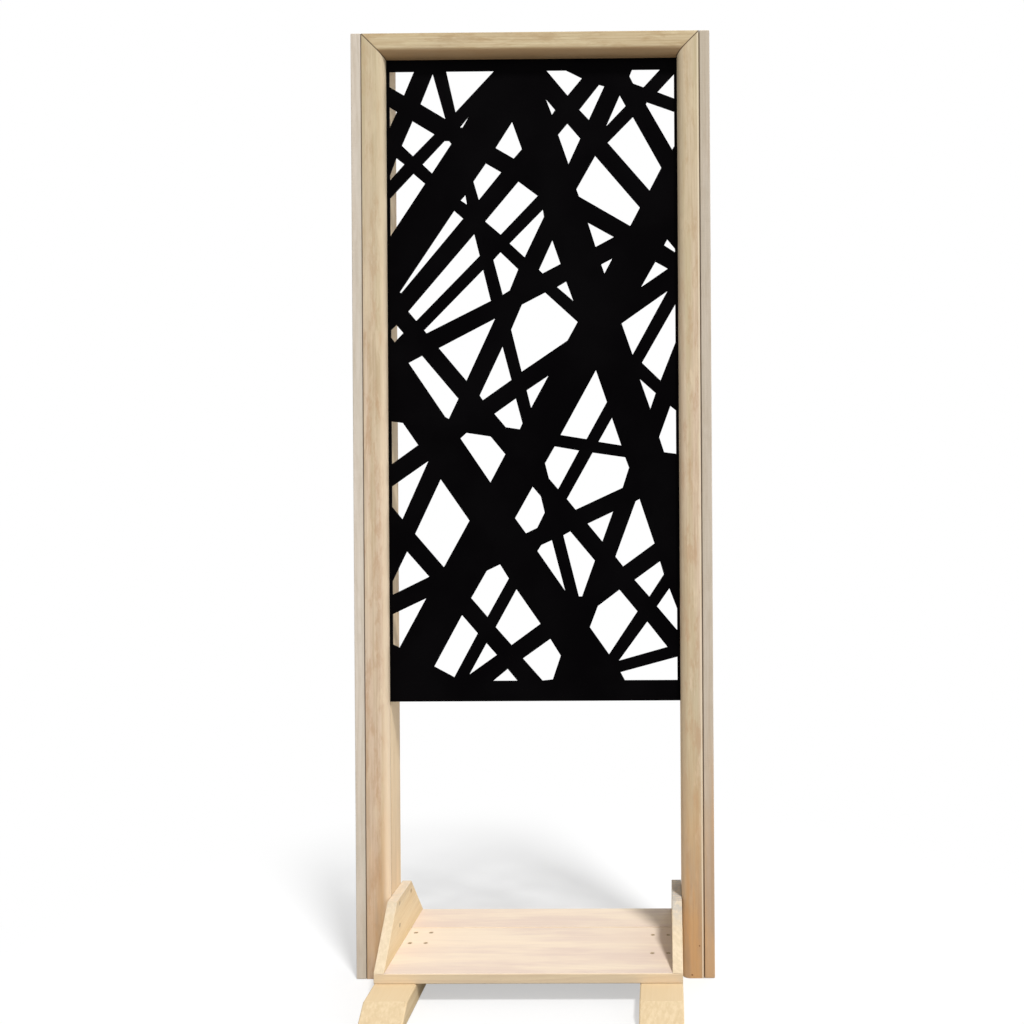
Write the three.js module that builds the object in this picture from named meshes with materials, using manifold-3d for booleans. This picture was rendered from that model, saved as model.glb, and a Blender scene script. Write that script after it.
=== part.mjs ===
// A free-standing garden privacy screen. Two timber posts and a top rail hold a flat metal panel
// with a cut lattice between them and a rounded front moulding. The posts stand on the ground
// beside a shelf of two boards, which rests on two runners and is braced by two gussets.
// Millimetres, +Z up. The front faces -Y, and the origin is on the ground at the middle of the
// whole. The places below are measured from the posts' middle, and the last lines move them.

import * as THREE from 'three';
import { mergeVertices } from 'three/addons/utils/BufferGeometryUtils.js';
import Module from 'manifold-3d';

const wasm = await Module();
wasm.setup();

// ---------------------------------------------------------------- driving dimensions

const frameHeight = 1725;
const frameDepth = 90; // of the side boards, and of moulding, panel slot and post together
const seam = 0.3; // left open where two pieces meet side by side

const postWidth = 40; // across the screen: posts and side mouldings alike
const railHeight = 40; // of the top moulding
const coreRailHeight = 30; // of the rail behind it
const sideBoardThickness = 19;
const mouldingThickness = 22;
const mouldingRounding = 15; // radius along the inner front edge
const timberEdge = 2; // radius of a timber's long edges
const endEase = 0.8; // chamfer round a timber's end faces

const panelWidth = 600;
const panelHeight = 1200;
const panelThickness = 3;
const panelDrop = 23; // from the top of the frame down to the panel
const panelCover = 32; // of the panel's width, held in the slot on each side
const panelBorder = 37.5; // plain metal round the lattice
const spacerRecess = 8; // from the inner edge of the slot to the spacer strip below the panel

const footWidth = 74;
const footHeight = 36;
const footReach = 100; // beyond the shelf's front edge
const footBackReach = 80; // beyond its back edge
const footSlope = 39; // length of the sloping end, along the foot
const footNose = 8; // height left at the tip

const shelfThickness = 18;
const shelfDepth = 284;
const backBoardWidth = 91;
const shelfJoint = 1; // between the two boards

const gussetThickness = 18;
const gussetHeight = 90;
const gussetSlope = 90; // length of each sloping end, along the shelf

// Screw sizes: diameter of the shank, diameter of the head and length.
const shortScrew = { shank: 4, head: 8, length: 44 };
const boardScrew = { shank: 4.5, head: 8.8, length: 40 };
const longScrew = { shank: 5, head: 9.8, length: 80 };
const railScrew = { shank: 5, head: 9.8, length: 100 };
const screwFit = 0.3; // clearance round a screw
const headSink = 0.4; // of a head below the face it closes on
const headRim = 0.6; // straight part of a head's edge
const driveWidth = 3.4;
const driveDepth = 2.2;
const pointLength = 7;

// Screw places, measured from the ends and the front edge of the shelf.
const leftShelfScrewColumns = [32, 61]; // from the shelf's left end, inwards
const rightShelfScrewColumns = [25, 54]; // from its right end
const leftShelfScrewRows = [124, 170]; // from the front edge, backwards
const rightShelfScrewRows = [79, 157];
const gussetScrewHeights = [40, 80]; // above the shelf
const gussetFootScrewOffset = 70; // in front of and behind the posts' middle
const sideScrewLowest = 260;
const sideScrewTopMargin = 125; // from the top of the frame down to the highest side screw
const sideScrewCount = 3; // up each side board, in each of two rows
const railScrewDrop = 15; // from the top of the frame
const topScrewDrop = 11.5; // from the top of the frame, above the panel
const topScrewSpread = 200; // between the screws in the top moulding
const topScrewCount = 3;

const cutOverrun = 1; // of a cut, past each face of the sheet
const edgeSteps = 3; // facets on a rounded timber edge
const mouldingSteps = 8; // facets on the moulding's rounding
const screwSides = 10;

// ---------------------------------------------------------------- places that follow from them

const clearWidth = panelWidth - 2 * panelCover; // between the two posts, and so the length of the shelf
const halfClear = clearWidth / 2;
const postOuter = halfClear + postWidth;
const front = -frameDepth / 2;
const back = frameDepth / 2;
const slotFront = front + mouldingThickness;
const postFront = slotFront + panelThickness + 2 * seam;
const sideScrewHighest = frameHeight - sideScrewTopMargin;
const panelTop = frameHeight - panelDrop;
const panelBottom = panelTop - panelHeight;
const shelfTop = footHeight + shelfThickness;
const shelfEnd = halfClear - seam;
const shelfFront = -shelfDepth / 2;
const shelfBack = shelfDepth / 2;
const mouldingMiddle = front + mouldingThickness / 2;
const postMiddle = (postFront + back) / 2;
const footFront = shelfFront - footReach;
const footBack = shelfBack + footBackReach;

// The lattice is drawn on a window of this size, from its top left corner, x to the right and y
// down. Each row is one opening between crossing bars. A panel of another size stretches it.
const drawnWindow = { width: 525, height: 1125 };
const latticeOpenings = [
  [[0, 0], [46, 0], [27, 44], [0, 28]],
  [[80, 4], [103, 88], [57, 60]],
  [[105, 0], [194, 0], [122, 76]],
  [[290, 0], [326, 0], [356, 15], [329, 47]],
  [[387, 27], [397, 30], [368, 92], [350, 73]],
  [[448, 0], [500, 0], [469, 33], [450, 26], [443, 12]],
  [[525, 9], [525, 54], [494, 42]],
  [[0, 65], [14, 74], [0, 104]],
  [[42, 91], [83, 116], [43, 156], [22, 136]],
  [[101, 128], [109, 128], [114, 134], [78, 188], [60, 171]],
  [[149, 80], [135, 104], [129, 104]],
  [[289, 53], [306, 73], [300, 82]],
  [[425, 47], [436, 67], [399, 105]],
  [[475, 60], [525, 78], [525, 142], [521, 148], [473, 64]],
  [[449, 87], [501, 181], [479, 223], [402, 134]],
  [[226, 94], [244, 145], [229, 162], [195, 142]],
  [[328, 98], [352, 126], [330, 173], [311, 118]],
  [[177, 170], [206, 187], [164, 238], [154, 203]],
  [[12, 159], [27, 171], [0, 201], [0, 190]],
  [[0, 233], [43, 188], [65, 207], [0, 304]],
  [[139, 228], [142, 246], [130, 238]],
  [[237, 204], [273, 231], [204, 302], [175, 277]],
  [[379, 158], [461, 254], [443, 288], [349, 233], [344, 219]],
  [[118, 257], [135, 272], [20, 408], [16, 407]],
  [[155, 300], [165, 341], [47, 460], [32, 442]],
  [[171, 366], [185, 424], [66, 483], [61, 477]],
  [[203, 334], [236, 366], [220, 405], [207, 413], [190, 348]],
  [[282, 256], [284, 270], [248, 344], [220, 318]],
  [[299, 313], [314, 357], [281, 374], [274, 367]],
  [[365, 281], [413, 308], [379, 326]],
  [[410, 347], [395, 375], [389, 358]],
  [[511, 313], [525, 330], [525, 337], [505, 324]],
  [[489, 354], [512, 367], [462, 401]],
  [[324, 389], [337, 425], [307, 399]],
  [[511, 408], [446, 525], [426, 467]],
  [[525, 433], [525, 503], [497, 573], [463, 540]],
  [[285, 409], [345, 464], [326, 498], [241, 555], [222, 477], [242, 431]],
  [[10, 467], [23, 482], [7, 499], [0, 490], [0, 476]],
  [[193, 456], [139, 571], [88, 510]],
  [[206, 508], [222, 570], [169, 607], [163, 598]],
  [[57, 524], [124, 604], [106, 641], [99, 637], [32, 537]],
  [[291, 562], [258, 622], [250, 589]],
  [[230, 604], [242, 650], [237, 661], [211, 657], [190, 632]],
  [[378, 553], [398, 612], [360, 680], [312, 672]],
  [[459, 570], [488, 596], [478, 625]],
  [[407, 641], [424, 692], [382, 685]],
  [[515, 620], [525, 628], [525, 708], [503, 705], [494, 677]],
  [[0, 645], [21, 648], [49, 689], [0, 724]],
  [[138, 667], [183, 674], [210, 707], [182, 759], [127, 677]],
  [[301, 693], [346, 701], [307, 772], [290, 752], [283, 724]],
  [[371, 705], [431, 714], [438, 733], [426, 770], [339, 810], [323, 790]],
  [[68, 718], [19, 826], [0, 803], [0, 765]],
  [[90, 752], [143, 829], [95, 915], [42, 853]],
  [[260, 767], [275, 785], [282, 815], [268, 843], [247, 853], [227, 825]],
  [[408, 814], [388, 869], [361, 836]],
  [[450, 795], [457, 791], [484, 873], [426, 915], [412, 897]],
  [[27, 885], [68, 932], [0, 965], [0, 940]],
  [[295, 866], [319, 960], [268, 886], [275, 875]],
  [[329, 850], [374, 904], [350, 970], [344, 970], [316, 857]],
  [[494, 906], [501, 930], [474, 971], [447, 940]],
  [[199, 910], [215, 936], [175, 1007], [145, 972], [174, 922]],
  [[62, 972], [12, 1063], [0, 1057], [0, 1001]],
  [[229, 956], [273, 1020], [219, 1059], [190, 1026]],
  [[128, 1003], [157, 1037], [113, 1118], [76, 1098]],
  [[419, 958], [452, 998], [399, 1077], [364, 1027], [379, 988]],
  [[511, 956], [525, 993], [525, 1033], [488, 989]],
  [[173, 1055], [192, 1077], [141, 1113]],
  [[470, 1017], [507, 1064], [417, 1089]],
  [[291, 1048], [310, 1079], [295, 1123], [276, 1125], [240, 1084]],
  [[212, 1103], [230, 1125], [185, 1125]],
  [[525, 1082], [525, 1125], [428, 1125], [420, 1110]],
];

// ---------------------------------------------------------------- materials

const pine = () => new THREE.MeshStandardMaterial({ color: 0xd2b48e, roughness: 0.75, metalness: 0 });
const sawnPine = () => new THREE.MeshStandardMaterial({ color: 0xcfc0a2, roughness: 0.9, metalness: 0 });
const blackSteel = () => new THREE.MeshStandardMaterial({ color: 0x0b0a0b, roughness: 0.55, metalness: 0.3 });
const zincSteel = () => new THREE.MeshStandardMaterial({ color: 0x8d8a84, roughness: 0.45, metalness: 0.9 });

// ---------------------------------------------------------------- solids

const xAxis = new THREE.Vector3(1, 0, 0);
const yAxis = new THREE.Vector3(0, 1, 0);
const zAxis = new THREE.Vector3(0, 0, 1);

// A section drawn in Y and Z, extruded along +X.
const alongX = new THREE.Matrix4().makeBasis(yAxis, zAxis, xAxis);
// A face drawn in X and Z, extruded along -Y.
const towardsFront = new THREE.Matrix4().makeBasis(xAxis, zAxis, yAxis.clone().negate());

function toSolid(geometry) {
  const bare = geometry.clone();
  bare.deleteAttribute('normal');
  bare.deleteAttribute('uv');
  const merged = mergeVertices(bare, 1e-4);
  const corners = merged.index.array;
  const triangles = [];
  for (let i = 0; i < corners.length; i += 3) {
    const [a, b, c] = corners.slice(i, i + 3);
    if (a !== b && b !== c && c !== a) triangles.push(a, b, c);
  }
  return new wasm.Manifold(new wasm.Mesh({
    numProp: 3,
    vertProperties: merged.attributes.position.array,
    triVerts: new Uint32Array(triangles),
  }));
}

function toGeometry(solid) {
  const mesh = solid.getMesh();
  const geometry = new THREE.BufferGeometry();
  geometry.setAttribute('position', new THREE.BufferAttribute(mesh.vertProperties, 3));
  geometry.setIndex(new THREE.BufferAttribute(mesh.triVerts, 1));
  return geometry;
}

function arc(centreX, centreY, radius, from, to, steps) {
  const points = [];
  for (let i = 0; i <= steps; i++) {
    const angle = from + ((to - from) * i) / steps;
    points.push(new THREE.Vector2(
      centreX + radius * Math.cos(angle),
      centreY + radius * Math.sin(angle),
    ));
  }
  return points;
}

// A rectangle with rounded corners, between two opposite corners.
function roundedRectangle(left, bottom, right, top, radius = timberEdge, steps = edgeSteps) {
  const quarter = Math.PI / 2;
  return new THREE.Shape([
    ...arc(right - radius, bottom + radius, radius, -quarter, 0, steps),
    ...arc(right - radius, top - radius, radius, 0, quarter, steps),
    ...arc(left + radius, top - radius, radius, quarter, 2 * quarter, steps),
    ...arc(left + radius, bottom + radius, radius, 2 * quarter, 3 * quarter, steps),
  ]);
}

// The shape extruded from 0 to the length along +Z, with its end edges eased.
function extrude(shape, length, ease = 0) {
  const geometry = new THREE.ExtrudeGeometry(shape, {
    depth: length - 2 * ease,
    bevelEnabled: ease > 0,
    bevelThickness: ease,
    bevelSize: ease,
    bevelOffset: -ease,
    bevelSegments: 1,
  });
  return geometry.translate(0, 0, ease);
}

// ---------------------------------------------------------------- the timbers

// Pieces on the right are built at +X; side = -1 draws the same section on the left.
function across(side, inner, outer) {
  return side > 0 ? [inner, outer] : [-outer, -inner];
}

function sideBoard(side) {
  const [left, right] = across(side, postOuter + seam, postOuter + seam + sideBoardThickness);
  const section = roundedRectangle(left, front, right, back);
  return toSolid(extrude(section, frameHeight, endEase));
}

function corePost(side) {
  const [left, right] = across(side, halfClear, postOuter);
  const section = roundedRectangle(left, postFront, right, back);
  return toSolid(extrude(section, frameHeight, endEase));
}

function topRail() {
  const section = roundedRectangle(postFront, frameHeight - coreRailHeight, back, frameHeight);
  const geometry = extrude(section, 2 * shelfEnd, endEase).applyMatrix4(alongX);
  return toSolid(geometry.translate(-shelfEnd, 0, 0));
}

// The moulding's section: u runs from its plain outer edge to its rounded inner edge, and
// v from the front face to the back face.
function mouldingSection(width) {
  return new THREE.Shape([
    new THREE.Vector2(0, 0),
    ...arc(width - mouldingRounding, mouldingRounding, mouldingRounding, -Math.PI / 2, 0, mouldingSteps),
    new THREE.Vector2(width, mouldingThickness),
    new THREE.Vector2(0, mouldingThickness),
  ]);
}

// Moves each point of an end face along the piece, in step with its distance u from the outer
// edge, so that the end lies in the mitre's plane.
function mitre(geometry, length, slope, atStart, atEnd) {
  const place = geometry.attributes.position;
  for (let i = 0; i < place.count; i++) {
    const shift = place.getX(i) * slope;
    if (atStart && place.getZ(i) < length / 2) place.setZ(i, place.getZ(i) + shift);
    else if (atEnd && place.getZ(i) > length / 2) place.setZ(i, place.getZ(i) - shift);
  }
  return geometry;
}

function sideMoulding(side) {
  const length = frameHeight - seam * Math.SQRT2;
  const slope = railHeight / postWidth;
  const geometry = mitre(extrude(mouldingSection(postWidth), length), length, slope, false, true);
  // On the left u runs along +X; the right one is the left one turned over, front to front.
  if (side < 0) return toSolid(geometry.translate(-postOuter, front, 0));
  const solid = toSolid(geometry);
  return solid.mirror([1, 0, 0]).translate([postOuter, front, 0]);
}

function topMoulding() {
  const length = 2 * postOuter;
  const slope = postWidth / railHeight;
  const geometry = mitre(extrude(mouldingSection(railHeight), length), length, slope, true, true);
  // u runs down from the top of the frame, v backwards and the length along -X.
  const downwards = zAxis.clone().negate();
  geometry.applyMatrix4(new THREE.Matrix4().makeBasis(downwards, yAxis, xAxis));
  return toSolid(geometry.translate(-postOuter, front, frameHeight));
}

// A thin strip in the slot below the panel, which keeps it open and carries the panel.
function panelSpacer(side) {
  const [left, right] = across(side, halfClear + spacerRecess, postOuter);
  const strip = new THREE.Shape([
    new THREE.Vector2(left, slotFront + seam),
    new THREE.Vector2(right, slotFront + seam),
    new THREE.Vector2(right, postFront - seam),
    new THREE.Vector2(left, postFront - seam),
  ]);
  return toSolid(extrude(strip, panelBottom - seam));
}

// A flat piece of the panel's metal between two depths, from its outline in X and Z.
function plate(outline, frontFace, backFace) {
  const geometry = extrude(new THREE.Shape(outline), backFace - frontFace).applyMatrix4(towardsFront);
  return toSolid(geometry.translate(0, backFace, 0));
}

function screenPanel() {
  const windowWidth = panelWidth - 2 * panelBorder;
  const windowHeight = panelHeight - 2 * panelBorder;
  const toPanel = ([x, y]) => new THREE.Vector2(
    (x / drawnWindow.width - 0.5) * windowWidth,
    panelTop - panelBorder - (y / drawnWindow.height) * windowHeight,
  );
  const outline = [
    new THREE.Vector2(-panelWidth / 2, panelBottom),
    new THREE.Vector2(panelWidth / 2, panelBottom),
    new THREE.Vector2(panelWidth / 2, panelTop),
    new THREE.Vector2(-panelWidth / 2, panelTop),
  ];
  const panelFront = slotFront + seam;
  const panelBack = postFront - seam;
  const sheet = plate(outline, panelFront, panelBack);
  return latticeOpenings.reduce((metal, corners) => (
    metal.subtract(plate(corners.map(toPanel), panelFront - cutOverrun, panelBack + cutOverrun))
  ), sheet);
}

function shelfBoard(frontEdge, backEdge) {
  const section = roundedRectangle(frontEdge, footHeight, backEdge, shelfTop);
  const geometry = extrude(section, 2 * shelfEnd, endEase).applyMatrix4(alongX);
  return toSolid(geometry.translate(-shelfEnd, 0, 0));
}

function gusset(side) {
  const outline = new THREE.Shape([
    new THREE.Vector2(shelfFront, shelfTop),
    new THREE.Vector2(shelfBack, shelfTop),
    new THREE.Vector2(shelfBack - gussetSlope, shelfTop + gussetHeight),
    new THREE.Vector2(shelfFront + gussetSlope, shelfTop + gussetHeight),
  ]);
  const [left] = across(side, shelfEnd - gussetThickness, shelfEnd);
  const geometry = extrude(outline, gussetThickness, endEase).applyMatrix4(alongX);
  return toSolid(geometry.translate(left, 0, 0));
}

function foot(side) {
  const outline = new THREE.Shape([
    new THREE.Vector2(footFront, 0),
    new THREE.Vector2(footBack, 0),
    new THREE.Vector2(footBack, footNose),
    new THREE.Vector2(footBack - footSlope, footHeight),
    new THREE.Vector2(footFront + footSlope, footHeight),
    new THREE.Vector2(footFront, footNose),
  ]);
  const [left] = across(side, shelfEnd - footWidth, shelfEnd);
  const geometry = extrude(outline, footWidth, timberEdge).applyMatrix4(alongX);
  return toSolid(geometry.translate(left, 0, 0));
}

// ---------------------------------------------------------------- screws

// A countersunk screw on the Z axis, its head's top at 0 and its point below.
function screwGeometry({ shank, head, length }) {
  const cone = (head - shank) / 2;
  return latheUp([
    [0, -length],
    [shank / 2, -length + pointLength],
    [shank / 2, -headRim - cone],
    [head / 2, -headRim],
    [head / 2, 0],
    [driveWidth / 2, 0],
    [driveWidth / 2, -driveDepth],
    [0, -driveDepth],
  ]);
}

// The hole that such a screw goes into, open above the face.
function screwHole({ shank, head, length }) {
  const cone = (head - shank) / 2;
  return latheUp([
    [0, -length - screwFit],
    [shank / 2 + screwFit, -length + pointLength],
    [shank / 2 + screwFit, -headRim - cone - screwFit],
    [head / 2 + screwFit, -headRim - screwFit],
    [head / 2 + screwFit, 2 * headSink],
    [0, 2 * headSink],
  ]);
}

function latheUp(profile) {
  const points = profile.map(([radius, height]) => new THREE.Vector2(radius, height));
  return new THREE.LatheGeometry(points, screwSides).rotateX(Math.PI / 2);
}

// ---------------------------------------------------------------- assembly

const pieces = new Map();
const screws = [];

function addPiece(name, solid, material) {
  pieces.set(name, { solid, material });
}

// Drives a screw through a face at a point, along a direction, into the named pieces.
function drive(name, size, face, direction, into) {
  const inwards = direction.clone().normalize();
  const place = new THREE.Matrix4().compose(
    face.clone().addScaledVector(inwards, headSink),
    new THREE.Quaternion().setFromUnitVectors(zAxis, inwards.clone().negate()),
    new THREE.Vector3(1, 1, 1),
  );
  const hole = toSolid(screwHole(size).applyMatrix4(place));
  for (const pieceName of into) {
    const piece = pieces.get(pieceName);
    piece.solid = piece.solid.subtract(hole);
  }
  screws.push({ name, size, place });
}

// Values spread evenly from one to another.
function spread(from, to, count) {
  if (count < 2) return [(from + to) / 2];
  return Array.from({ length: count }, (_, i) => from + ((to - from) * i) / (count - 1));
}

const sides = [
  { name: 'left', side: -1, shelfColumns: leftShelfScrewColumns, shelfRows: leftShelfScrewRows },
  { name: 'right', side: 1, shelfColumns: rightShelfScrewColumns, shelfRows: rightShelfScrewRows },
];

addPiece('screen_panel', screenPanel(), blackSteel());
addPiece('core_top_rail', topRail(), pine());
addPiece('top_front_moulding', topMoulding(), pine());
addPiece('base_board_front', shelfBoard(shelfFront, shelfBack - backBoardWidth - shelfJoint), pine());
addPiece('base_board_back', shelfBoard(shelfBack - backBoardWidth, shelfBack), pine());
for (const { name, side } of sides) {
  addPiece(`${name}_side_board`, sideBoard(side), sawnPine());
  addPiece(`${name}_core_post`, corePost(side), pine());
  addPiece(`${name}_front_moulding`, sideMoulding(side), pine());
  addPiece(`${name}_panel_spacer`, panelSpacer(side), pine());
  addPiece(`${name}_gusset`, gusset(side), pine());
  addPiece(`${name}_foot`, foot(side), pine());
}

const down = zAxis.clone().negate();

// The shelf board that lies at this depth.
function boardAt(y) {
  return y < shelfBack - backBoardWidth ? 'base_board_front' : 'base_board_back';
}

// The shelf boards are screwed down into the feet.
function driveShelfScrews({ name, side, shelfColumns, shelfRows }) {
  shelfRows.forEach((row, rowIndex) => {
    shelfColumns.forEach((column, columnIndex) => {
      const y = shelfFront + row;
      const at = new THREE.Vector3(side * (shelfEnd - column), y, shelfTop);
      const number = rowIndex * shelfColumns.length + columnIndex + 1;
      drive(`${name}_shelf_screw_${number}`, shortScrew, at, down, [boardAt(y), `${name}_foot`]);
    });
  });
}

// The gussets are screwed outwards into the side mouldings.
function driveGussetScrews({ name, side }) {
  const outwards = xAxis.clone().multiplyScalar(side);
  const face = side * (shelfEnd - gussetThickness);
  const into = [`${name}_gusset`, `${name}_front_moulding`];
  gussetScrewHeights.forEach((height, i) => {
    const at = new THREE.Vector3(face, mouldingMiddle, shelfTop + height);
    drive(`${name}_gusset_front_screw_${i + 1}`, shortScrew, at, outwards, into);
  });
}

// Long screws hold each gusset down, from under the foot and through the shelf.
function driveFootScrews({ name, side }) {
  [-gussetFootScrewOffset, gussetFootScrewOffset].forEach((y, i) => {
    const at = new THREE.Vector3(side * (shelfEnd - gussetThickness / 2), y, 0);
    const into = [`${name}_foot`, boardAt(y), `${name}_gusset`];
    drive(`${name}_foot_screw_${i + 1}`, longScrew, at, zAxis, into);
  });
}

// The side boards are screwed inwards to the moulding and to the post, and so hold them together.
function driveSideScrews({ name, side }) {
  const inwards = xAxis.clone().multiplyScalar(-side);
  const outerFace = side * (postOuter + seam + sideBoardThickness);
  const intoMoulding = [`${name}_side_board`, `${name}_front_moulding`];
  const intoPost = [`${name}_side_board`, `${name}_core_post`];
  spread(sideScrewLowest, sideScrewHighest, sideScrewCount).forEach((z, i) => {
    const atMoulding = new THREE.Vector3(outerFace, mouldingMiddle, z);
    drive(`${name}_side_front_screw_${i + 1}`, boardScrew, atMoulding, inwards, intoMoulding);
    const atPost = new THREE.Vector3(outerFace, postMiddle, z);
    drive(`${name}_side_back_screw_${i + 1}`, boardScrew, atPost, inwards, intoPost);
  });
  const atRail = new THREE.Vector3(outerFace, postMiddle, frameHeight - railScrewDrop);
  drive(`${name}_rail_screw`, railScrew, atRail, inwards, [...intoPost, 'core_top_rail']);
}

// The top moulding is screwed on from behind, through the rail and above the panel.
function driveTopScrews() {
  const reach = (topScrewSpread * (topScrewCount - 1)) / 2;
  spread(-reach, reach, topScrewCount).forEach((x, i) => {
    const at = new THREE.Vector3(x, back, frameHeight - topScrewDrop);
    const forwards = yAxis.clone().negate();
    drive(`top_screw_${i + 1}`, longScrew, at, forwards, ['core_top_rail', 'top_front_moulding']);
  });
}

sides.forEach(driveShelfScrews);
sides.forEach(driveGussetScrews);
sides.forEach(driveFootScrews);
sides.forEach(driveSideScrews);
driveTopScrews();

// ---------------------------------------------------------------- the scene graph

// The mesh's own origin is at the middle of its piece, and its position puts it in place.
function pieceMesh(name, { solid, material }) {
  const geometry = toGeometry(solid);
  geometry.computeBoundingBox();
  const middle = geometry.boundingBox.getCenter(new THREE.Vector3());
  const mesh = new THREE.Mesh(geometry.translate(-middle.x, -middle.y, -middle.z), material);
  mesh.position.copy(middle);
  mesh.name = name;
  return mesh;
}

function screwMesh({ name, size, place }) {
  const mesh = new THREE.Mesh(toGeometry(toSolid(screwGeometry(size))), zincSteel());
  mesh.applyMatrix4(place);
  mesh.name = name;
  return mesh;
}

const timberGroup = new THREE.Group();
pieces.forEach((piece, name) => timberGroup.add(pieceMesh(name, piece)));

const screwGroup = new THREE.Group();
screws.forEach((screw) => screwGroup.add(screwMesh(screw)));

// The feet reach from the front end to the back end of the whole, so their middle is its middle.
const privacyScreen = new THREE.Group();
privacyScreen.add(timberGroup, screwGroup);
privacyScreen.position.y = -(footFront + footBack) / 2;

export default privacyScreen;
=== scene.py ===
"""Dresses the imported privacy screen: timber with solid grain, a matt black panel and dulled screws.

Everything is in the row frame, in metres, with +Z up and the front facing -Y. Sizes marked as mm
are turned into metres with MM where they are used. Object coordinates are row coordinates here,
because every timber's object sits at the origin.
"""
import math

import bmesh
import bpy
from mathutils import Matrix, Vector, noise


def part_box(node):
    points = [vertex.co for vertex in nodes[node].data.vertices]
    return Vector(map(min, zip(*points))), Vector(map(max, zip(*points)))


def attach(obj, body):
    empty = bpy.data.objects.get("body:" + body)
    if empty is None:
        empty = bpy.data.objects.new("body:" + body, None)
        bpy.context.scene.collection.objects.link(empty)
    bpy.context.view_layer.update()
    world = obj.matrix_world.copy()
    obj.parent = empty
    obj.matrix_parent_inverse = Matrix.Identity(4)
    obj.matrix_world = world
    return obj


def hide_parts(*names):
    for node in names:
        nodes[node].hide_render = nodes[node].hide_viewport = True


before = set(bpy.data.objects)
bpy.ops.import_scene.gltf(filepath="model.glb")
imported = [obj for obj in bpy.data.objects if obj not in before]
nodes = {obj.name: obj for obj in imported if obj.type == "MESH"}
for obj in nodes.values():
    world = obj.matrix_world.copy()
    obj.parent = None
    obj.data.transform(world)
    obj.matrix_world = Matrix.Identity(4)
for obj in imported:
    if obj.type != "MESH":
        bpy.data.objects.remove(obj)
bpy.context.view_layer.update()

MM = 0.001

# The frame as the CAD has it, in mm.
SEAM_X = 308.15  # the middle of the seam between a post and its side board
POST_OUTER = 308.0
FRAME_TOP = 1725.0
FRAME_FRONT = -35.0
MOULDING_WIDTH = 40.0
MOULDING_THICKNESS = 22.0


# ---------------------------------------------------------------- colours and node helpers


def tone(red, green, blue):
    """A colour from its 0 to 255 display values, as a linear RGBA tuple."""
    def linear(value):
        share = value / 255
        return share / 12.92 if share <= 0.04045 else ((share + 0.055) / 1.055) ** 2.4
    return (linear(red), linear(green), linear(blue), 1.0)


WHITE = (1, 1, 1, 1)
KNOT_BROWN = tone(124, 84, 48)
FLECK_BROWN = tone(136, 108, 78)
WEATHERED_GREY = tone(186, 180, 164)
RAIN_GREY = tone(176, 171, 163)
KHAKI_TINT = tone(196, 184, 144)
CUT_RING = tone(180, 152, 112)
NEAR_GROUND_PALE, NEAR_GROUND_DARK = tone(201, 155, 105), tone(184, 148, 113)
# dirt and painted shade along joints
JOINT_DIRT_AND_SHADE = tone(84, 62, 42)
# a painted highlight along an arris
ARRIS_HIGHLIGHT = tone(240, 226, 200)


class Graph:
    """The node tree of a material or a world, with one short call for each kind of node."""

    def __init__(self, owner):
        self.owner = owner
        owner.use_nodes = True
        self.tree = owner.node_tree
        self.tree.nodes.clear()

    def put(self, kind, values, **settings):
        node = self.tree.nodes.new(kind)
        for key, value in settings.items():
            setattr(node, key, value)
        for key, value in values.items():
            if isinstance(value, bpy.types.NodeSocket):
                self.tree.links.new(value, node.inputs[key])
            else:
                node.inputs[key].default_value = value
        return node

    def math(self, operation, first, second=0.0):
        return self.put("ShaderNodeMath", {0: first, 1: second}, operation=operation).outputs[0]

    def vector(self, operation, first, second):
        node = self.put("ShaderNodeVectorMath", {0: first, 1: second}, operation=operation)
        return node.outputs["Value" if operation == "DOT_PRODUCT" else "Vector"]

    def noise(self, place, scale, detail=2.0, roughness=0.5):
        values = {"Vector": place, "Scale": scale, "Detail": detail, "Roughness": roughness}
        return self.put("ShaderNodeTexNoise", values)

    def ease(self, value, low, high, start=0.0, end=1.0):
        values = {"Value": value, "From Min": low, "From Max": high, "To Min": start, "To Max": end}
        return self.put("ShaderNodeMapRange", values, interpolation_type="SMOOTHSTEP").outputs[0]

    def blend(self, share, first, second):
        return self.put("ShaderNodeMix", {0: share, 6: first, 7: second}, data_type="RGBA").outputs[2]

    def bump(self, height, strength, distance):
        values = {"Height": height, "Strength": strength, "Distance": distance}
        return self.put("ShaderNodeBump", values).outputs[0]

    def seen_rays(self):
        """1 for the rays that show a background: from the camera, mirrored or let through."""
        rays = self.put("ShaderNodeLightPath", {}).outputs
        seen = self.math("MAXIMUM", rays["Is Camera Ray"], rays["Is Glossy Ray"])
        return self.math("MAXIMUM", seen, rays["Is Transmission Ray"])

    def finish(self, shader, output="ShaderNodeOutputMaterial"):
        self.put(output, {"Surface": shader.outputs[0]})
        return self.owner


# ---------------------------------------------------------------- timber

# Which row coordinates run across a timber and which one along it.
ACROSS_AND_ALONG = {"x": ("Y", "Z", "X"), "y": ("X", "Z", "Y"), "z": ("X", "Y", "Z")}
UNIT = {"x": (1, 0, 0), "y": (0, 1, 0), "z": (0, 0, 1)}
SEED_STEP = 0.731  # m along the grain, from the wood of one seed to the next


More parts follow.
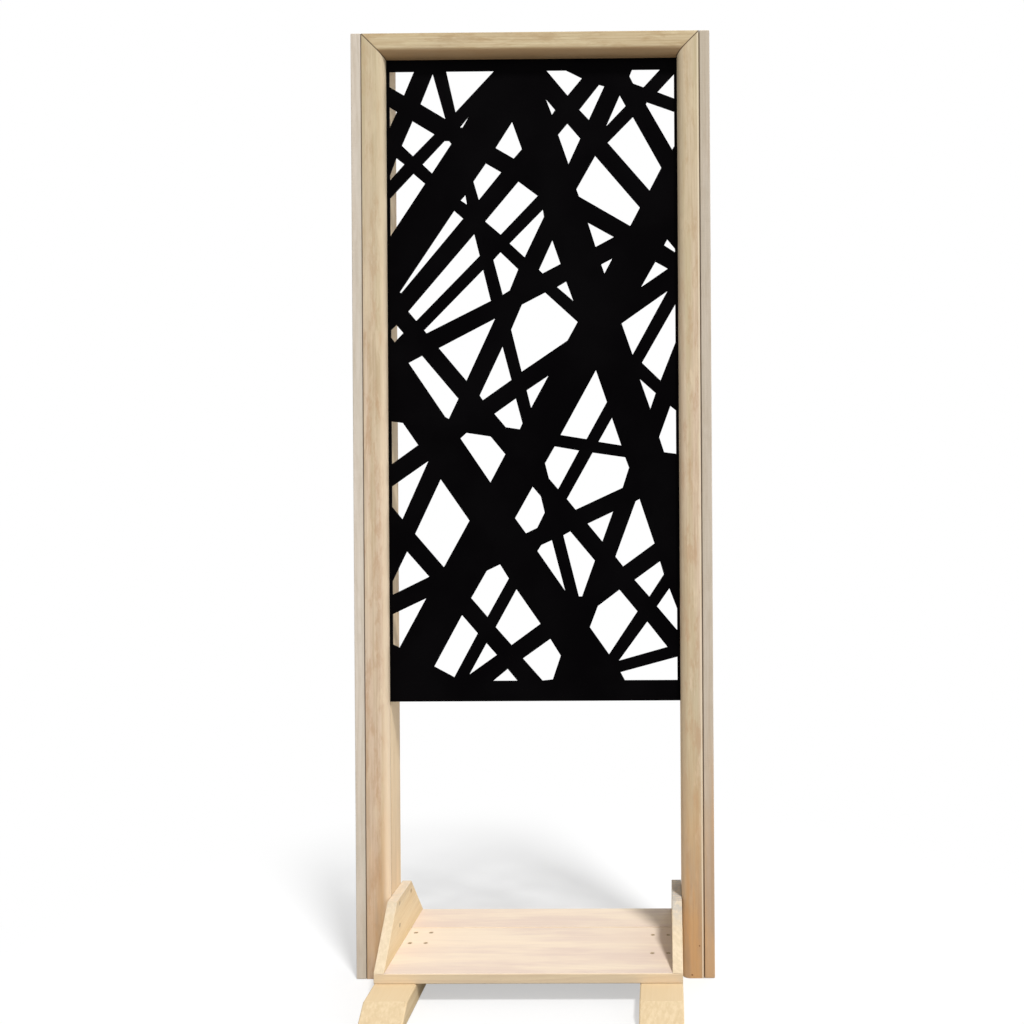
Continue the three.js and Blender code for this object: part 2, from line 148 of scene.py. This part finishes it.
class Timber:
    """Solid wood: growth rings round a pith, fibres along it, weathering and knots, joints darkened by
    dirt and painted shade, and painted light and shade by the way a face looks and on one arris.

    pith is the rings' middle across the timber, in mm. early is the colour of the pale wood, late
    that of the rings' dark edges, and drift that of the broad bands.
    """

    def __init__(self, name, along, pith, early, late, drift, seed, **looks):
        self.g = Graph(bpy.data.materials.new(name))
        self.along = along
        self.pith = pith
        self.early, self.late, self.drift = early, late, drift
        self.seed = seed
        self.ring = looks.get("ring", 5.0) * MM  # from one growth ring to the next
        self.wander = looks.get("wander", 75.0) * MM  # how far the rings drift sideways
        self.ring_strength = looks.get("ring_strength", 0.6)
        self.streaks = looks.get("streaks", 0.2)
        self.blotches = looks.get("blotches", 0.15)
        self.blotch_shade = looks.get("blotch_shade", late)
        self.clean_shade = looks.get("clean_shade", early)
        self.grey = looks.get("grey", 0.25)
        self.khaki = looks.get("khaki", 0.0)  # yellower towards the top
        self.ground_darkening = looks.get("ground_darkening", 0.0)  # darker and more orange towards the ground
        self.painted_top_shade = looks.get("painted_top_shade")  # painted shade: the colour of faces that look up, darker than the sides
        self.bleach = looks.get("bleach", False)  # faces that look up are bleached
        self.greyed_top = looks.get("greyed_top")  # where it starts and is full, in mm, and amount
        self.turned = looks.get("turned")  # painted light and shade by which way a face looks: direction, start and end of facing, colour and amount
        self.end_rings = looks.get("end_rings", 0.16)
        self.cut = looks.get("cut", (tone(205, 187, 156), tone(219, 201, 173)))
        self.knots = looks.get("knots", ())  # centre in mm, the axis it runs along, radius in mm
        self.joints = looks.get("joints", ())  # where dirt and painted shade darken a joint: a plane's normal and distance, and width, in mm
        self.pale_edge = looks.get("pale_edge")  # the same, for a painted highlight along one arris
        self.sawn = looks.get("sawn", 0.0)  # how deep the blade marks are
        self.relief = looks.get("relief", 1.0)

    def places(self):
        g = self.g
        source = g.put("ShaderNodeTexCoord", {})
        self.place = source.outputs["Object"]
        self.normal = source.outputs["Normal"]
        parts = g.put("ShaderNodeSeparateXYZ", {0: self.place}).outputs
        self.up = parts["Z"]
        first, second, length = ACROSS_AND_ALONG[self.along]
        shifted = g.math("ADD", parts[length], self.seed * SEED_STEP)
        values = {0: parts[first], 1: parts[second], 2: shifted}
        self.local = g.put("ShaderNodeCombineXYZ", values).outputs[0]

    def stretched(self, across, along):
        """The local place, scaled apart across and along the grain."""
        return self.g.vector("MULTIPLY", self.local, (across, across, along))

    def grain(self, across, along, detail, roughness=0.5, scale=1.0):
        """Noise that is drawn out along the grain."""
        return self.g.noise(self.stretched(across, along), scale, detail, roughness).outputs[0]

    def knot_fields(self):
        """How near each point is to a knot: a broad swell for the rings, and the knot itself."""
        g = self.g
        swell = dark = 0.0
        for centre, flat_axis, radius in self.knots:
            offset = g.vector("SUBTRACT", self.place, tuple(c * MM for c in centre))
            flat = tuple(0.0 if axis == flat_axis else 1.0 for axis in "xyz")
            offset = g.vector("MULTIPLY", offset, flat)
            wobble = g.noise(self.place, 260, 1.0).outputs["Color"]
            wobble = g.vector("SUBTRACT", wobble, (0.5, 0.5, 0.5))
            offset = g.vector("ADD", offset, g.vector("MULTIPLY", wobble, (radius * MM * 0.7,) * 3))
            distance = g.math("SQRT", g.vector("DOT_PRODUCT", offset, offset))
            swell = g.math("MAXIMUM", swell, g.ease(distance, 0, radius * 4.5 * MM, 1, 0))
            inner, outer = radius * 0.55 * MM, radius * 1.1 * MM
            dark = g.math("MAXIMUM", dark, g.ease(distance, inner, outer, 1, 0))
        return swell, dark

    def rings(self, swell):
        """0 in the pale early wood of each ring, rising to 1 at its dark late edge."""
        g = self.g
        drifting = g.noise(self.stretched(4.5, 1.3), 1.0, 2.0).outputs["Color"]
        drifting = g.vector("SUBTRACT", drifting, (0.5, 0.5, 0.5))
        drifting = g.vector("MULTIPLY", drifting, (self.wander, self.wander, 0))
        bent = g.vector("ADD", self.local, drifting)
        bent = g.vector("SUBTRACT", bent, (self.pith[0] * MM, self.pith[1] * MM, 0))
        bent = g.vector("MULTIPLY", bent, (1, 1, 0))
        radius = g.math("SQRT", g.vector("DOT_PRODUCT", bent, bent))
        uneven = self.grain(120, 6, 2.0)
        count = g.math("DIVIDE", radius, self.ring)
        count = g.math("ADD", count, g.math("MULTIPLY", uneven, 0.9))
        if self.knots:
            count = g.math("ADD", count, g.math("MULTIPLY", swell, 2.6))
        step = g.math("FRACT", count)
        rise = g.ease(step, 0.3, 0.88)
        fall = g.ease(step, 0.93, 1.0, 1, 0)
        fading = self.grain(26, 3.2, 3.0)
        clear = g.ease(fading, 0.38, 0.64, 0.25, 1)
        return g.math("MULTIPLY", g.math("MULTIPLY", rise, fall), clear)

    def end_share(self):
        """1 on the cut ends and 0 on the long faces."""
        g = self.g
        facing = g.math("ABSOLUTE", g.vector("DOT_PRODUCT", self.normal, UNIT[self.along]))
        return g.ease(facing, 0.35, 0.8)

    def colour(self, ring, dark, ends):
        g = self.g
        shade = g.blend(g.math("MULTIPLY", ring, self.ring_strength), self.streaked(), self.late)
        shade = self.fibrous(shade)
        shade = self.weathering_and_painted_light(shade)
        shade = g.blend(g.math("MULTIPLY", ends, 0.88), shade, self.end_grain(ring))
        if self.greyed_top:
            shade = self.greyed(shade)
        if self.knots:
            shade = g.blend(g.math("MULTIPLY", dark, 0.8), shade, KNOT_BROWN)
        return self.arris_and_joints(shade)

    def streaked(self):
        """Broad bands of a second colour along the timber, with narrower streaks in them."""
        g = self.g
        broad = self.grain(38, 1.1, 2.0)
        shade = g.blend(g.ease(broad, 0.36, 0.64), self.early, self.drift)
        narrow = self.grain(160, 8, 4.0, 0.6)
        shade = g.blend(g.ease(narrow, 0.42, 0.68, 0, self.streaks), shade, self.late)
        blotch = self.grain(58, 15, 5.0, 0.68)
        shade = g.blend(g.ease(blotch, 0.47, 0.64, 0, self.blotches), shade, self.blotch_shade)
        clean = self.grain(46, 8, 4.0, 0.6, scale=1.7)
        return g.blend(g.ease(clean, 0.52, 0.66, 0, self.blotches), shade, self.clean_shade)

    def fibrous(self, shade):
        """Fine dark fibres, and a few short flecks."""
        g = self.g
        fibre = self.grain(900, 16, 3.0, 0.6)
        shade = g.blend(g.ease(fibre, 0.36, 0.62, 0.14, 0), shade, self.late)
        flecks = self.grain(2600, 90, 1.0)
        return g.blend(g.ease(flecks, 0.66, 0.76, 0, 0.2), shade, FLECK_BROWN)

    def weathering_and_painted_light(self, shade):
        """Greyed in patches, then changed by which way a face looks, partly as painted light and shade,
        and by its height.
        """
        g = self.g
        patches = self.grain(16, 3.5, 4.0, 0.62)
        shade = g.blend(g.ease(patches, 0.5, 0.74, 0, self.grey), shade, WEATHERED_GREY)
        upward = g.vector("DOT_PRODUCT", self.normal, UNIT["z"])
        # painted shade on the faces that look up
        if self.painted_top_shade:
            shade = g.blend(g.ease(upward, 0.35, 0.85, 0, 0.85), shade, self.painted_top_shade)
        if self.bleach:
            shade = g.blend(g.ease(upward, 0.6, 0.9, 0, 0.66), shade, self.bleached())
        if self.ground_darkening:
            shade = self.darkened_near_ground(shade)
        # painted light and shade: faces that look one way are drawn towards a colour
        if self.turned:
            direction, low, high, colour, amount = self.turned
            facing = g.vector("DOT_PRODUCT", self.normal, direction)
            shade = g.blend(g.ease(facing, low, high, 0, amount), shade, colour)
        if self.khaki:
            shade = g.blend(g.ease(self.up, 0.95, 1.7, 0, self.khaki), shade, KHAKI_TINT)
        return shade

    def bleached(self):
        """A face that the sun has bleached, pinkish with cream and greyer flames along it."""
        g = self.g
        flames = self.grain(24, 3.4, 4.0, 0.6)
        shade = g.blend(g.ease(flames, 0.4, 0.6), tone(219, 205, 190), tone(203, 186, 180))
        cloud = self.grain(9, 4, 3.0)
        return g.blend(g.ease(cloud, 0.45, 0.7, 0, 0.5), shade, tone(219, 204, 190))

    def end_grain(self, ring):
        """Creamy and mottled where the fibres are cut across, with faint rings."""
        g = self.g
        mottle = self.grain(150, 40, 4.0, 0.6)
        shade = g.blend(g.ease(mottle, 0.34, 0.68), *self.cut)
        return g.blend(g.math("MULTIPLY", ring, self.end_rings), shade, CUT_RING)

    def greyed(self, shade):
        """Grey mottle above a height, as rain leaves it on the top of a slope."""
        g = self.g
        low, high, share = self.greyed_top
        rise = g.ease(self.up, low * MM, high * MM, 0, share)
        mottle = g.noise(self.place, 130, 4.0, 0.65).outputs[0]
        rise = g.math("MULTIPLY", rise, g.ease(mottle, 0.38, 0.6, 0.4, 1))
        return g.blend(rise, shade, RAIN_GREY)

    def darkened_near_ground(self, shade):
        """Darker and more orange towards the ground, in streaks."""
        g = self.g
        streaks = self.grain(70, 2.2, 3.0)
        level = g.math("ADD", self.up, g.math("MULTIPLY", streaks, 0.6))
        bands = self.grain(48, 5.5, 4.0, 0.6)
        ground_tone = g.blend(g.ease(bands, 0.4, 0.62), NEAR_GROUND_PALE, NEAR_GROUND_DARK)
        return g.blend(g.ease(level, 0.28, 0.88, self.ground_darkening, 0), shade, ground_tone)

    def off_plane(self, normal, distance):
        """How far each point lies from a plane, which is distance mm out along its normal."""
        g = self.g
        out = g.vector("DOT_PRODUCT", self.place, Vector(normal).normalized())
        return g.math("ABSOLUTE", g.math("SUBTRACT", out, distance * MM))

    def arris_and_joints(self, shade):
        """A painted highlight along one arris, and dirt and painted shade along each joint's plane."""
        g = self.g
        # painted highlight along one arris
        if self.pale_edge:
            normal, distance, width = self.pale_edge
            share = g.ease(self.off_plane(normal, distance), 0.4 * MM, width * MM, 0.7, 0)
            shade = g.blend(share, shade, ARRIS_HIGHLIGHT)
        # dirt and painted shade along each joint
        for normal, distance, width in self.joints:
            share = g.ease(self.off_plane(normal, distance), 0.3 * MM, width * MM, 0.85, 0)
            shade = g.blend(share, shade, JOINT_DIRT_AND_SHADE)
        return shade

    def height(self, ring):
        """Late wood stands proud, fibres are fine ridges, and a sawn face has blade marks."""
        g = self.g
        fibre = self.grain(700, 14, 3.0, 0.65)
        total = g.math("ADD", g.math("MULTIPLY", ring, 0.35), g.math("MULTIPLY", fibre, 0.5))
        if self.sawn:
            marks = self.grain(22, 520, 2.0, 0.6)
            fuzz = g.noise(self.place, 1500, 2.0, 0.7).outputs[0]
            rough = g.math("ADD", g.math("MULTIPLY", marks, 1.1), g.math("MULTIPLY", fuzz, 0.6))
            total = g.math("ADD", total, g.math("MULTIPLY", rough, self.sawn))
        return total

    def make(self):
        g = self.g
        self.places()
        swell, dark = self.knot_fields()
        ring = self.rings(swell)
        gloss = self.grain(300, 8, 2.0)
        return g.finish(g.put("ShaderNodeBsdfPrincipled", {
            "Base Color": self.colour(ring, dark, self.end_share()),
            "Roughness": g.ease(gloss, 0.3, 0.7, 0.62, 0.84),
            "Specular IOR Level": 0.28,
            "Normal": g.bump(self.height(ring), 0.55 * self.relief, 0.45 * MM),
        }))


# ---------------------------------------------------------------- metals


def powder_coat():
    """Matt black powder coat, with its fine orange peel."""
    g = Graph(bpy.data.materials.new("panel_powder_coat"))
    place = g.put("ShaderNodeTexCoord", {}).outputs["Object"]
    peel = g.noise(place, 1100, 2.0, 0.55).outputs[0]
    cloud = g.noise(place, 7, 3.0).outputs[0]
    return g.finish(g.put("ShaderNodeBsdfPrincipled", {
        "Base Color": g.blend(g.ease(cloud, 0.35, 0.7), tone(3, 2, 3), tone(7, 6, 7)),
        "Roughness": g.ease(cloud, 0.3, 0.7, 0.52, 0.62),
        "Specular IOR Level": 0.015,
        "Normal": g.bump(peel, 0.35, 0.12 * MM),
    }))


def dull_zinc():
    """Zinc plating that has dulled outdoors, browner in its blotches."""
    g = Graph(bpy.data.materials.new("screw_dull_zinc"))
    place = g.put("ShaderNodeTexCoord", {}).outputs["Object"]
    blotch = g.noise(place, 420, 3.0, 0.6).outputs[0]
    return g.finish(g.put("ShaderNodeBsdfPrincipled", {
        "Base Color": g.blend(g.ease(blotch, 0.38, 0.64), tone(186, 170, 144), tone(138, 116, 86)),
        "Metallic": 0.4,
        "Roughness": g.ease(blotch, 0.35, 0.7, 0.45, 0.7),
        "Normal": g.bump(blotch, 0.2, 0.1 * MM),
    }))


# ---------------------------------------------------------------- the timbers' looks

PLANED = dict(
    early=tone(226, 203, 178), late=tone(186, 156, 122), drift=tone(208, 190, 156),
    wander=20, ring_strength=0.3, streaks=0.42, grey=0.14, khaki=0.4,
    blotches=0.6, blotch_shade=tone(194, 156, 122), clean_shade=tone(232, 212, 182),
)
KHAKI = dict(
    early=tone(215, 196, 159), late=tone(182, 154, 114), drift=tone(199, 178, 138),
    wander=20, ring_strength=0.35, streaks=0.4, grey=0.14,
    blotches=0.55, blotch_shade=tone(178, 147, 106), clean_shade=tone(222, 206, 168),
)
WARM = dict(
    early=tone(240, 219, 186), late=tone(214, 184, 146), drift=tone(230, 208, 173), wander=30,
)
SAWN = dict(
    early=tone(223, 211, 196), late=tone(194, 178, 156), drift=tone(209, 200, 184),
    wander=30, sawn=1.0, grey=0.4, ring_strength=0.3, blotches=0.3,
)
SAWN_SHADED = dict(
    SAWN, early=tone(209, 196, 179), late=tone(184, 166, 142), drift=tone(198, 185, 165),
)
BLEACHED = dict(
    early=tone(226, 205, 170), late=tone(205, 181, 152), drift=tone(218, 196, 164),
    grey=0.08, relief=0.7, ring_strength=0.6, streaks=0.2, bleach=True,
)
GOLDEN = dict(
    early=tone(230, 209, 172), late=tone(207, 176, 130), drift=tone(221, 198, 157),
    ring_strength=0.38,
)
# Painted shade: a gusset's faces that look up are darker than its sides.
GUSSET = dict(GOLDEN, painted_top_shade=tone(213, 194, 169))
# Painted shade: a foot's faces that look up are darker than its sides.
RUNNER = dict(
    GOLDEN, painted_top_shade=tone(206, 183, 147), cut=(tone(190, 168, 131), tone(214, 195, 162)),
    ring=9.0, end_rings=0.4, grey=0.1,
)

# How wide the dirt and painted shade are along each kind of joint, in mm.
MITRE_DARKENING, SEAM_DARKENING, SLOT_DARKENING = 1.5, 1.8, 1.6


def mitre(side):
    """The plane of a top corner's mitre."""
    reach = (POST_OUTER - FRAME_TOP) / math.sqrt(2)
    return ((side, 0, -1), reach, MITRE_DARKENING)


def side_seam(side):
    """The plane between a side board and what it is screwed to."""
    return ((side, 0, 0), SEAM_X, SEAM_DARKENING)


def slot_seam():
    """The plane between the mouldings and what lies behind them."""
    return ((0, 1, 0), FRAME_FRONT + MOULDING_THICKNESS, SLOT_DARKENING)


TIMBERS = {
    "left_side_board": dict(
        SAWN, along="z", pith=(-255, 80), seed=1, ground_darkening=0.12, ring=4.2,
        joints=[side_seam(-1)], knots=[((-327, 22, 1130), "x", 9)],
    ),
    "right_side_board": dict(
        SAWN_SHADED, along="z", pith=(262, -56), seed=2, ground_darkening=0.85, ring=4.6,
        joints=[side_seam(1)], knots=[((327, -4, 690), "x", 8)],
    ),
    "left_core_post": dict(
        WARM, along="z", pith=(-350, 70), seed=3, ground_darkening=0.3, joints=[side_seam(-1)],
    ),
    "right_core_post": dict(
        WARM, along="z", pith=(340, 85), seed=4, ground_darkening=0.4, joints=[side_seam(1)],
    ),
    "left_front_moulding": dict(
        PLANED, along="z", pith=(-420, -5), seed=5, ground_darkening=0.6,
        joints=[side_seam(-1), mitre(-1), slot_seam()],
        # faces that look right are paler: partly the paler planed rounding, and partly a painted
        # highlight
        turned=((1, 0, 0), 0.2, 0.95, tone(246, 225, 196), 0.66),
    ),
    "right_front_moulding": dict(
        PLANED, along="z", pith=(430, -10), seed=6, ground_darkening=0.9,
        joints=[side_seam(1), mitre(1), slot_seam()],
        # faces that look left are paler: partly the paler planed rounding, and partly painted light
        # that lifts the shade there
        turned=((-1, 0, 0), 0.15, 0.95, tone(230, 205, 172), 0.55),
        knots=[((299.5, -35, 59), "y", 1.8), ((286, -35, 6), "y", 2.2)],
        # painted highlight along the outer arris
        pale_edge=((1, 0, 0), 305.4, 1.8),
    ),
    "top_front_moulding": dict(
        KHAKI, along="x", pith=(5, 1850), seed=7,
        joints=[mitre(-1), mitre(1), slot_seam()],
        # painted shade: faces that look down are darker brown
        turned=((0, 0, -1), 0.06, 0.42, tone(172, 136, 96), 0.8),
    ),
    "core_top_rail": dict(WARM, along="x", pith=(70, 1640), seed=8),
    "left_panel_spacer": dict(WARM, along="z", pith=(-280, 40), seed=9, joints=[slot_seam()]),
    "right_panel_spacer": dict(WARM, along="z", pith=(280, 40), seed=10, joints=[slot_seam()]),
    "base_board_front": dict(BLEACHED, along="x", pith=(-42, -20), seed=11, ring=6.5),
    "base_board_back": dict(BLEACHED, along="x", pith=(140, -10), seed=12, ring=6.0),
    "left_gusset": dict(
        GUSSET, along="y", pith=(-330, 40), seed=13, grey=0.2,
        greyed_top=(112, 160, 0.5), knots=[((-249, 58, 126), "x", 4.5)],
    ),
    "right_gusset": dict(
        GUSSET, along="y", pith=(310, 180), seed=14, grey=0.25,
        greyed_top=(96, 146, 0.95), knots=[((249, 30, 90), "x", 4)],
    ),
    "left_foot": dict(RUNNER, along="y", pith=(-215, -55), seed=15),
    "right_foot": dict(RUNNER, along="y", pith=(150, 70), seed=16),
}

timber_looks = {name: Timber(name + "_grain", **looks).make() for name, looks in TIMBERS.items()}
panel_look = powder_coat()
screw_look = dull_zinc()


def paint(item, look):
    item.data.materials.clear()
    item.data.materials.append(look)


for node_name, look in timber_looks.items():
    paint(nodes[node_name], look)
paint(nodes["screen_panel"], panel_look)


# ---------------------------------------------------------------- pieces made here


def mesh_of(name, bm, look):
    """A bmesh as a mesh with one look, its faces turned outwards."""
    bmesh.ops.recalc_face_normals(bm, faces=bm.faces)
    mesh = bpy.data.meshes.new(name)
    bm.to_mesh(mesh)
    bm.free()
    mesh.materials.append(look)
    return mesh


def stand_in(name, mesh, replaced, where=None):
    """A piece that is shown in place of a CAD node."""
    piece = bpy.data.objects.new(name, mesh)
    bpy.context.scene.collection.objects.link(piece)
    if where is not None:
        piece.matrix_world = where
    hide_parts(replaced)
    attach(piece, "root")


# The mouldings, in mm.
ROUNDING = 15.0
ROUNDING_STEPS = 20
ARRIS = 0.7
STATION = 24.0  # along a moulding, between its sections
SHARP = math.radians(35)  # an edge that turns by more than this isn't smoothed
SIDE_LENGTH = FRAME_TOP - 0.42  # a little short, so that the mitre's tip stays below the top


def moulding_section():
    """(u, v) round the section: u from the outer edge inwards, v from the front backwards."""
    points = [(0, MOULDING_THICKNESS), (0, ARRIS), (0.2 * ARRIS, 0.2 * ARRIS), (ARRIS, 0)]
    for flat in range(1, 4):
        points.append((ARRIS + (MOULDING_WIDTH - ROUNDING - ARRIS) * flat / 4, 0))
    for i in range(ROUNDING_STEPS + 1):
        angle = -math.pi / 2 + (math.pi / 2) * i / ROUNDING_STEPS
        u = MOULDING_WIDTH - ROUNDING + ROUNDING * math.cos(angle)
        points.append((u, ROUNDING + ROUNDING * math.sin(angle)))
    points.append((MOULDING_WIDTH, MOULDING_THICKNESS))
    return points


def worn(u, v, along, seed):
    """How far a planed face has sunk there, in mm. It never rises above the section."""
    dip = noise.noise(Vector((u * 0.05 + seed, v * 0.05, along * 0.006)))
    return 0.12 + 0.12 * dip


def moulding(replaced, length, place, mitred_start, mitred_end, seed):
    """A moulding in place of a CAD one, which is also its timber's name.

    place gives the row coordinates in mm of a point (u, v) of the section, some way along.
    """
    section = moulding_section()
    count = max(2, round(length / STATION))
    bm = bmesh.new()
    loops = []
    for i in range(count + 1):
        loop = []
        for u, v in section:
            low = u if mitred_start else 0.0
            high = length - (u if mitred_end else 0.0)
            along = low + (high - low) * i / count
            on_front = v < MOULDING_THICKNESS
            sunk = worn(u, v, along, seed) if on_front and u > 0 else 0.0
            inset = sunk * (u / MOULDING_WIDTH) * 0.5
            loop.append(bm.verts.new(Vector(place(u - inset, v + sunk, along)) * MM))
        loops.append(loop)
    for before, after in zip(loops, loops[1:]):
        for j, corner in enumerate(before):
            k = (j + 1) % len(before)
            face = bm.faces.new((corner, before[k], after[k], after[j]))
            face.smooth = True
    bm.faces.new(loops[0])
    bm.faces.new(loops[-1])
    bmesh.ops.recalc_face_normals(bm, faces=bm.faces)
    bm.normal_update()
    for edge in bm.edges:
        if len(edge.link_faces) == 2 and edge.calc_face_angle(0) > SHARP:
            edge.smooth = False
    name = replaced + "_planed"
    stand_in(name, mesh_of(name, bm, timber_looks[replaced]), replaced)


moulding(
    "left_front_moulding", SIDE_LENGTH,
    lambda u, v, along: (-POST_OUTER + u, FRAME_FRONT + v, along), False, True, 3.1,
)
moulding(
    "right_front_moulding", SIDE_LENGTH,
    lambda u, v, along: (POST_OUTER - u, FRAME_FRONT + v, along), False, True, 7.7,
)
moulding(
    "top_front_moulding", 2 * POST_OUTER,
    lambda u, v, along: (-POST_OUTER + along, FRAME_FRONT + v, FRAME_TOP - u), True, True, 12.9,
)


# ---------------------------------------------------------------- screws

# In mm.
HEAD_RIM = 0.6
THREAD_DEPTH = 0.55
THREAD_PITCH = 2.2
POINT_LENGTH = 7.0
PLAIN_NECK = 3.0  # below the head, before the thread starts
RECESS_REACH, RECESS_HALF, RECESS_DEPTH = 1.75, 0.42, 1.9
ROUND_STEPS = 32
TURN_STEP = 2.399  # in radians, from one screw's recess to the next one's


def cross_radius(angle, reach, half):
    """The outline of a cross recess, as a distance from its middle."""
    turned = (angle + math.pi / 4) % (math.pi / 2) - math.pi / 4
    side = abs(math.sin(turned))
    edge = half / side if side > 1e-6 else reach
    return min(reach, max(edge, half * math.sqrt(2)) if abs(turned) > 0.6 else edge)


def screw_rings(shank, head, length):
    """Radius at an angle, and height, of each ring from the recess out and down to the point."""
    rings = [
        (lambda a: cross_radius(a, RECESS_REACH * 0.55, RECESS_HALF * 0.6), -RECESS_DEPTH),
        (lambda a: cross_radius(a, RECESS_REACH, RECESS_HALF), -0.08),
        (lambda a: cross_radius(a, RECESS_REACH + 0.12, RECESS_HALF + 0.1), 0.0),
        (lambda a: head / 2 - 0.15, 0.0),
        (lambda a: head / 2, -0.15),
        (lambda a: head / 2, -HEAD_RIM),
    ]
    neck = -HEAD_RIM - (head - shank) / 2
    core = shank / 2 - THREAD_DEPTH
    rings.append((lambda a: core, neck - 0.3))
    start, end = neck - PLAIN_NECK, -length + POINT_LENGTH
    steps = int((start - end) / (THREAD_PITCH / 4))
    for i in range(steps + 1):
        z = start + (end - start) * i / steps

        def threaded(a, z=z):
            turn = (z / THREAD_PITCH + a / (2 * math.pi)) % 1.0
            return core + THREAD_DEPTH * max(0.0, 1 - abs(turn - 0.5) * 5)

        rings.append((threaded, z))
    rings.append((lambda a: 0.5 * core, -length + 0.35 * POINT_LENGTH))
    return rings


def screw_mesh(name, shank, head, length):
    bm = bmesh.new()
    angles = [2 * math.pi * i / ROUND_STEPS for i in range(ROUND_STEPS)]
    loops = []
    for radius, z in screw_rings(shank, head, length):
        points = [(radius(a) * math.cos(a) * MM, radius(a) * math.sin(a) * MM, z * MM) for a in angles]
        loops.append([bm.verts.new(point) for point in points])
    for before, after in zip(loops, loops[1:]):
        for i in range(ROUND_STEPS):
            k = (i + 1) % ROUND_STEPS
            bm.faces.new((before[i], before[k], after[k], after[i]))
    floor = bm.verts.new((0, 0, (-RECESS_DEPTH - 0.3) * MM))
    tip = bm.verts.new((0, 0, -length * MM))
    for i in range(ROUND_STEPS):
        k = (i + 1) % ROUND_STEPS
        bm.faces.new((floor, loops[0][k], loops[0][i]))
        bm.faces.new((tip, loops[-1][i], loops[-1][k]))
    return mesh_of(name, bm, screw_look)


# The shank's and the head's diameter, and the length.
SCREW_SIZES = {
    "short": screw_mesh("screw_short", 4, 8, 44),
    "board": screw_mesh("screw_board", 4.5, 8.8, 40),
    "long": screw_mesh("screw_long", 5, 9.8, 80),
    "rail": screw_mesh("screw_rail", 5, 9.8, 100),
}


def screw_kind(name):
    """The size of a screw, and the way its head faces."""
    outwards = Vector((-1, 0, 0)) if name.startswith("left") else Vector((1, 0, 0))
    if "shelf_screw" in name:
        return "short", Vector((0, 0, 1))
    if "gusset" in name:
        return "short", -outwards
    if "foot_screw" in name:
        return "long", Vector((0, 0, -1))
    if "rail_screw" in name:
        return "rail", outwards
    if name.startswith("top_screw"):
        return "long", Vector((0, 1, 0))
    return "board", outwards


def drive(name, turn):
    """Puts a detailed screw where the CAD's plain one is, its recess turned."""
    size, facing = screw_kind(name)
    low, high = (Vector(corner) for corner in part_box(name))
    middle = (low + high) / 2
    reach = abs((high - low).dot(facing)) / 2
    head = Matrix.Translation(middle + facing * reach)
    aim = facing.to_track_quat("Z", "Y").to_matrix().to_4x4()
    where = head @ aim @ Matrix.Rotation(turn, 4, "Z")
    stand_in(name + "_driven", SCREW_SIZES[size], name, where)


for i, screw_name in enumerate(sorted(n for n in nodes if "screw" in n)):
    drive(screw_name, (i * TURN_STEP) % (2 * math.pi))


# ---------------------------------------------------------------- floor, world and lights

FLOOR_SIZE = 60
FLOOR_DROP = 0.0005  # below the feet, so that no two faces share a plane
FLOOR_SEEN = (0.8, 0.8, 0.8, 1)
FLOOR_BOUNCED = (0.3, 0.3, 0.3, 1)
AMBIENT = 0.4


def pale_floor():
    """Pale with the object's shadow where it is seen, and turning into the white background far off."""
    g = Graph(bpy.data.materials.new("pale_floor"))
    place = g.put("ShaderNodeTexCoord", {}).outputs["Object"]
    distance = g.math("SQRT", g.vector("DOT_PRODUCT", place, place))
    seen = g.seen_rays()
    share = g.math("MULTIPLY", g.ease(distance, 0.35, 1.15, 0.5, 1.0), seen)
    matt = g.put("ShaderNodeBsdfDiffuse", {"Color": g.blend(seen, FLOOR_BOUNCED, FLOOR_SEEN)})
    white = g.put("ShaderNodeEmission", {"Color": WHITE, "Strength": 1.0})
    return g.finish(g.put("ShaderNodeMixShader", {0: share, 1: matt.outputs[0], 2: white.outputs[0]}))


bpy.ops.mesh.primitive_plane_add(size=FLOOR_SIZE, location=(0, 0, -FLOOR_DROP))
ground = bpy.context.object
ground.name = "ground"
ground.data.materials.append(pale_floor())


def white_world():
    """White where it is seen, and a softer light on everything else."""
    g = Graph(bpy.data.worlds.new("studio"))
    values = {"Value": g.seen_rays(), "To Min": AMBIENT, "To Max": 1.0}
    strength = g.put("ShaderNodeMapRange", values).outputs[0]
    shade = g.put("ShaderNodeBackground", {"Color": WHITE, "Strength": strength})
    return g.finish(shade, "ShaderNodeOutputWorld")


def soft_light(name, towards, softness, strength):
    """A lamp far away in that direction, as wide as its softness in radians."""
    data = bpy.data.lights.new(name, "SUN")
    data.angle = softness
    data.energy = strength
    light = bpy.data.objects.new(name, data)
    light.rotation_euler = Vector(towards).to_track_quat("Z", "Y").to_euler()
    bpy.context.scene.collection.objects.link(light)


bpy.context.scene.world = white_world()
soft_light("key", (0.257, -0.456, 0.852), 0.14, 3.0)  # the sun, from its shadows in the photo
soft_light("side", (0.88, -0.42, 0.22), 1.0, 0.55)
soft_light("fill", (-0.6, -0.75, 0.3), 1.0, 0.25)
soft_light("back", (0.55, 0.8, 0.25), 1.0, 0.8)


# ---------------------------------------------------------------- camera

# Worked out from the photo. The photo shows the screen beside the line of sight, hence the shift.
CAMERA_PLACE = (0.2402, -1.8707, 0.8559)
YAW, PITCH_ANGLE, ROLL = 0.0078, -0.0016, -0.0061

camera_data = bpy.data.cameras.new("camera")
camera_data.sensor_width = 36.0
camera_data.lens = 35.461
camera_data.shift_x = -0.1411
camera_data.shift_y = -0.0019
camera = bpy.data.objects.new("camera", camera_data)
camera.matrix_world = (
    Matrix.Translation(CAMERA_PLACE)
    @ Matrix.Rotation(YAW, 4, "Z")
    @ Matrix.Rotation(math.pi / 2 + PITCH_ANGLE, 4, "X")
    @ Matrix.Rotation(ROLL, 4, "Z")
)
bpy.context.scene.collection.objects.link(camera)
bpy.context.scene.camera = camera

bpy.context.scene.view_settings.view_transform = "Standard"
